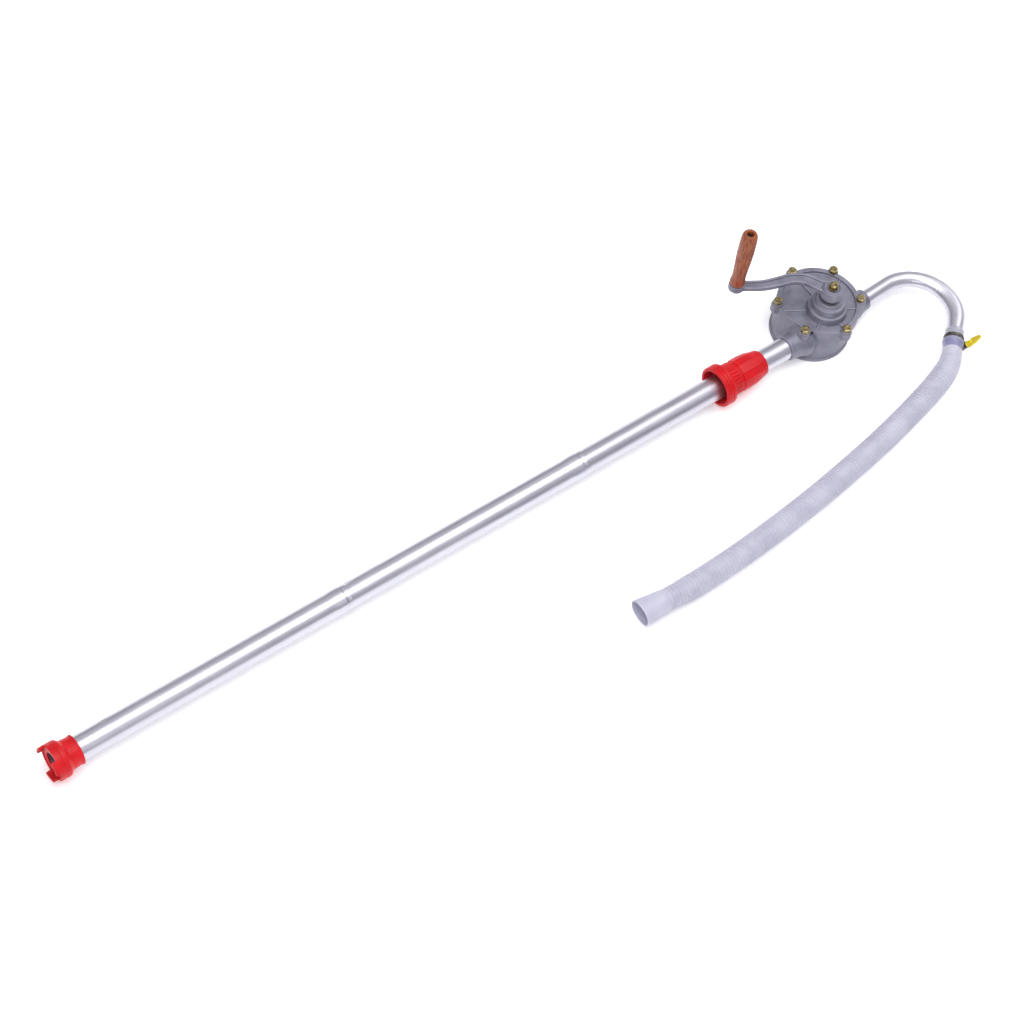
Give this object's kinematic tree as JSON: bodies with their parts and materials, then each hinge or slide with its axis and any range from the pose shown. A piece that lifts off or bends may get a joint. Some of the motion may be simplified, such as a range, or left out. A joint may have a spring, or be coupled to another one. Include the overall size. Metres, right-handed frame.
{
  "type": "rotary hand transfer pump",
  "caption": "Hand-cranked rotary vane drum pump with a push-fit suction tube, bung adapter, gooseneck spout and short discharge hose.",
  "frame": {"origin": "point on the casing's flat back face, on the drive shaft's axis", "axes": "+Z along the drive shaft towards the crank, +X towards the spout, -X along the suction tube to the foot strainer"},
  "size_m": [1.3744, 0.3224, 0.2005],
  "materials": {
    "cast_aluminium": "painted sand casting, satin grey",
    "tube_aluminium": "bright drawn tube",
    "red_plastic": "moulded, semi-gloss",
    "black_rubber": "moulded, matt",
    "gasket_paper": "pressed sheet, matt",
    "yellow_zinc": "zinc plated, yellow passivated",
    "dark_steel": "plain rolled steel",
    "bronze": "sintered, oiled",
    "rotor_aluminium": "machined casting",
    "vane_plastic": "moulded, matt",
    "varnished_wood": "stained and varnished",
    "yellow_plastic": "moulded, semi-gloss",
    "clear_hose": "translucent corrugated hose"
  },
  "bodies": {
    "housing": {"pump_casing": "cast_aluminium", "cover_gasket": "gasket_paper", "front_cover": "cast_aluminium", "cover_bolt_1": "yellow_zinc", "cover_bolt_2": "yellow_zinc", "cover_bolt_3": "yellow_zinc", "cover_bolt_4": "yellow_zinc", "cover_bolt_5": "yellow_zinc", "cover_bolt_6": "yellow_zinc", "rear_bush": "bronze", "cover_bush": "bronze", "shaft_seal": "black_rubber", "tube_section_1": "tube_aluminium", "gooseneck_spout": "tube_aluminium", "hose_cuff": "clear_hose", "discharge_hose": "clear_hose", "clamp_band": "dark_steel", "clamp_housing": "dark_steel"},
    "crank": {"drive_shaft": "dark_steel", "rotor": "rotor_aluminium", "vane_1": "vane_plastic", "vane_2": "vane_plastic", "vane_3": "vane_plastic", "vane_4": "vane_plastic", "vane_spring_1": "dark_steel", "vane_spring_2": "dark_steel", "vane_spring_3": "dark_steel", "vane_spring_4": "dark_steel", "crank_arm": "cast_aluminium", "crank_washer": "yellow_zinc", "crank_bolt": "yellow_zinc", "grip_spindle": "dark_steel", "grip_washer": "dark_steel"},
    "grip": {"wooden_grip": "varnished_wood"},
    "gland": {"tube_gland": "black_rubber"},
    "collar": {"bung_collar": "red_plastic"},
    "thrust": {"thrust_ring": "vane_plastic"},
    "nut": {"clamp_nut": "red_plastic"},
    "middle_tube": {"tube_section_2": "tube_aluminium"},
    "foot_tube": {"tube_section_3": "tube_aluminium", "foot_strainer": "red_plastic"},
    "key": {"clamp_screw": "dark_steel", "clamp_key": "yellow_plastic"}
  },
  "joints": [
    {"name": "crank_turn", "type": "hinge", "parent": "housing", "child": "crank", "pos_m": [0, 0, 0], "axis": [0, 0, 1], "continuous": true},
    {"name": "grip_spin", "type": "hinge", "parent": "crank", "child": "grip", "pos_m": [-0.1035, 0.0738, 0.1], "axis": [0, 0, 1], "continuous": true},
    {"name": "adapter_slide", "type": "slide", "parent": "housing", "child": "gland", "axis": [1, 0, 0], "range_m": [-0.2, 0.03]},
    {"name": "collar_turn", "type": "hinge", "parent": "gland", "child": "collar", "pos_m": [-0.16, -0.0073, 0.028], "axis": [1, 0, 0], "continuous": true},
    {"name": "nut_travel", "type": "slide", "parent": "collar", "child": "thrust", "axis": [1, 0, 0], "range_m": [0, 0.006]},
    {"name": "nut_turn", "type": "hinge", "parent": "thrust", "child": "nut", "pos_m": [-0.136, -0.0073, 0.028], "axis": [1, 0, 0], "range_deg": [0, 720]},
    {"name": "middle_tube_pull", "type": "slide", "parent": "housing", "child": "middle_tube", "axis": [-1, 0, 0], "range_m": [0, 0.014]},
    {"name": "foot_tube_pull", "type": "slide", "parent": "middle_tube", "child": "foot_tube", "axis": [-1, 0, 0], "range_m": [0, 0.014]},
    {"name": "clamp_key_turn", "type": "hinge", "parent": "housing", "child": "key", "pos_m": [0.13751, -0.12827, 0.01331], "axis": [0.3141, -0.3489, 0.8829], "continuous": true}
  ],
  "couplings": [
    {"joint": "nut_travel", "follows": "nut_turn", "m_per_rad": 0.00047746}
  ]
}
